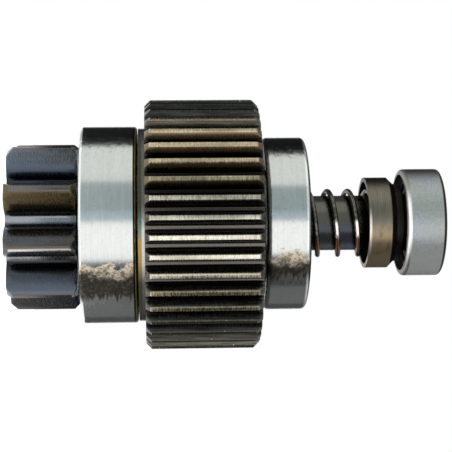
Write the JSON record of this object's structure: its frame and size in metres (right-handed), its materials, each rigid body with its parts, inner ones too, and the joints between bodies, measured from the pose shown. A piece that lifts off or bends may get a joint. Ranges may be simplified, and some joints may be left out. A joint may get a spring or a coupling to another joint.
{
  "type": "starter drive",
  "caption": "Sliding pinion shaft with splined roller overrunning clutch, toothed clutch gear, ball bearings, return spring and stopper.",
  "frame": {"origin": "centre of the pinion's front face, at the bottom of the part", "axes": "+Z along the shaft from the pinion to the end bearing, X and Y across it with +X through the first roller pocket"},
  "size_m": [0.0532, 0.0532, 0.093],
  "materials": {
    "pinion_steel": "dark blued and worn bright at the tooth edges",
    "sleeve_steel": "ground",
    "gear_steel": "dark hardened steel with a bronze tint on the tooth lands",
    "cover_steel": "turned",
    "bronze": "plain bearing bronze",
    "spring_steel": "dark drawn wire",
    "cup_steel": "turned, dark grey with a bronze tint",
    "clip_steel": "phosphated",
    "roller_steel": "polished",
    "strip_steel": "bare strip",
    "front_ring_steel": "ground bearing steel with dirt",
    "rear_ring_steel": "ground bearing steel with dirt",
    "end_ring_steel": "satin ground bearing steel",
    "ring_steel": "ground bearing steel",
    "cage_steel": "bare steel",
    "ball_steel": "polished",
    "shield_steel": "pressed sheet"
  },
  "bodies": {
    "housing_ring": {"front_bearing_outer": "front_ring_steel", "front_shield_near": "shield_steel", "front_shield_far": "shield_steel"},
    "sleeve": {"drive_sleeve": "sleeve_steel", "front_bearing_inner": "ring_steel", "spring_seat": "bronze", "return_spring": "spring_steel"},
    "pinion": {"pinion_shaft": "pinion_steel", "stopper_cup": "cup_steel", "stop_clip": "clip_steel", "end_clip": "clip_steel", "end_bearing_inner": "ring_steel"},
    "gear": {"clutch_gear": "gear_steel", "clutch_cover": "cover_steel", "gear_bush": "bronze", "rear_bearing_inner": "ring_steel", "roller_spring_1": "strip_steel", "roller_spring_2": "strip_steel", "roller_spring_3": "strip_steel", "roller_spring_4": "strip_steel", "roller_spring_5": "strip_steel"},
    "rear_ring": {"rear_bearing_outer": "rear_ring_steel", "rear_shield_near": "shield_steel", "rear_shield_far": "shield_steel"},
    "end_ring": {"end_bearing_outer": "end_ring_steel"},
    "front_cage": {"front_bearing_cage": "cage_steel", "front_bearing_balls": "ball_steel"},
    "rear_cage": {"rear_bearing_cage": "cage_steel", "rear_bearing_balls": "ball_steel"},
    "end_cage": {"end_bearing_cage": "cage_steel", "end_bearing_balls": "ball_steel"},
    "roller_1": {"roller_1": "roller_steel"},
    "roller_2": {"roller_2": "roller_steel"},
    "roller_3": {"roller_3": "roller_steel"},
    "roller_4": {"roller_4": "roller_steel"},
    "roller_5": {"roller_5": "roller_steel"}
  },
  "joints": [
    {"name": "sleeve_spin", "type": "hinge", "parent": "housing_ring", "child": "sleeve", "pos_m": [0, 0, 0.0213], "axis": [0, 0, 1], "continuous": true},
    {"name": "pinion_slide", "type": "slide", "parent": "sleeve", "child": "pinion", "axis": [0, 0, -1], "range_m": [0, 0.012], "stiffness_N_per_m": 900, "springref_m": -0.02, "deforming": ["return_spring"]},
    {"name": "gear_overrun", "type": "hinge", "parent": "sleeve", "child": "gear", "pos_m": [0, 0, 0.04075], "axis": [0, 0, 1], "continuous": true},
    {"name": "rear_race_spin", "type": "hinge", "parent": "gear", "child": "rear_ring", "pos_m": [0, 0, 0.05825], "axis": [0, 0, 1], "continuous": true},
    {"name": "end_race_spin", "type": "hinge", "parent": "pinion", "child": "end_ring", "pos_m": [0, 0, 0.0878], "axis": [0, 0, 1], "continuous": true},
    {"name": "front_cage_spin", "type": "hinge", "parent": "housing_ring", "child": "front_cage", "pos_m": [0, 0, 0.0213], "axis": [0, 0, 1], "continuous": true},
    {"name": "rear_cage_spin", "type": "hinge", "parent": "gear", "child": "rear_cage", "pos_m": [0, 0, 0.05825], "axis": [0, 0, 1], "continuous": true},
    {"name": "end_cage_spin", "type": "hinge", "parent": "pinion", "child": "end_cage", "pos_m": [0, 0, 0.0878], "axis": [0, 0, 1], "continuous": true},
    {"name": "roller_1_spin", "type": "hinge", "parent": "gear", "child": "roller_1", "pos_m": [0.01498, 0, 0.0363], "axis": [0, 0, 1], "continuous": true},
    {"name": "roller_2_spin", "type": "hinge", "parent": "gear", "child": "roller_2", "pos_m": [0.00463, 0.01425, 0.0363], "axis": [0, 0, 1], "continuous": true},
    {"name": "roller_3_spin", "type": "hinge", "parent": "gear", "child": "roller_3", "pos_m": [-0.01212, 0.00881, 0.0363], "axis": [0, 0, 1], "continuous": true},
    {"name": "roller_4_spin", "type": "hinge", "parent": "gear", "child": "roller_4", "pos_m": [-0.01212, -0.00881, 0.0363], "axis": [0, 0, 1], "continuous": true},
    {"name": "roller_5_spin", "type": "hinge", "parent": "gear", "child": "roller_5", "pos_m": [0.00463, -0.01425, 0.0363], "axis": [0, 0, 1], "continuous": true}
  ],
  "couplings": [
    {"joint": "front_cage_spin", "follows": "sleeve_spin", "ratio": 0.39758},
    {"joint": "rear_cage_spin", "follows": "rear_race_spin", "ratio": 0.58333},
    {"joint": "end_cage_spin", "follows": "end_race_spin", "ratio": 0.62974},
    {"joint": "roller_1_spin", "follows": "gear_overrun", "ratio": 4.4364},
    {"joint": "roller_2_spin", "follows": "gear_overrun", "ratio": 4.4364},
    {"joint": "roller_3_spin", "follows": "gear_overrun", "ratio": 4.4364},
    {"joint": "roller_4_spin", "follows": "gear_overrun", "ratio": 4.4364},
    {"joint": "roller_5_spin", "follows": "gear_overrun", "ratio": 4.4364}
  ]
}
